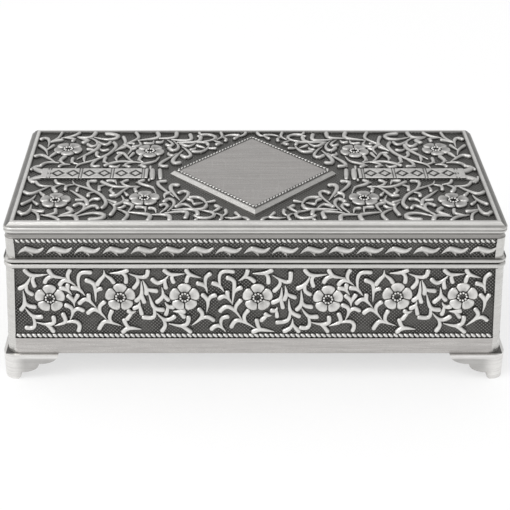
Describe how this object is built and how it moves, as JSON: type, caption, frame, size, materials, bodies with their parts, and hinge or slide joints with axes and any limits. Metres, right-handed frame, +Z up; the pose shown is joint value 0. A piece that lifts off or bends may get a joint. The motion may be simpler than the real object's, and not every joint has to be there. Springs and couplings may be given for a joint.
{
  "type": "rosary box",
  "caption": "Cast pewter rosary box on bracket feet, with a hinged lid, scrolling relief ornament and a velvet lining.",
  "frame": {"origin": "on the ground under the middle of the box, at the bottom centre of its overall box", "axes": "+X to the box's right seen from the front, +Y to the back where the hinges are, +Z up"},
  "size_m": [0.1556, 0.0776, 0.0536],
  "materials": {
    "pewter": "antique pewter, brushed high spots over a dark patina",
    "plate": "plain brushed pewter, ready for engraving",
    "brass": "aged brass",
    "steel": "plain zinc-plated steel",
    "velvet": "midnight blue velvet on card",
    "felt": "black felt"
  },
  "bodies": {
    "box": {"body_casting": "pewter", "bottom_plate": "steel", "base_felt": "felt", "foot_front_left": "pewter", "foot_front_right": "pewter", "foot_rear_left": "pewter", "foot_rear_right": "pewter", "foot_screws": "steel", "floor_pad": "velvet", "lining_front": "velvet", "lining_rear": "velvet", "lining_left": "velvet", "lining_right": "velvet", "hinge_left_body_leaf": "brass", "hinge_right_body_leaf": "brass", "hinge_left_pin": "steel", "hinge_right_pin": "steel", "body_hinge_rivets": "brass"},
    "lid": {"lid_casting": "pewter", "engraving_plate": "plate", "hinge_left_lid_leaf": "brass", "hinge_right_lid_leaf": "brass", "lid_hinge_rivets": "brass", "lid_pad": "velvet", "lid_lining_front": "velvet", "lid_lining_rear": "velvet", "lid_lining_left": "velvet", "lid_lining_right": "velvet"}
  },
  "joints": [
    {"name": "lid_hinge", "type": "hinge", "parent": "box", "child": "lid", "pos_m": [0, 0.03622, 0.0399], "axis": [-1, 0, 0], "range_deg": [0, 100]}
  ]
}
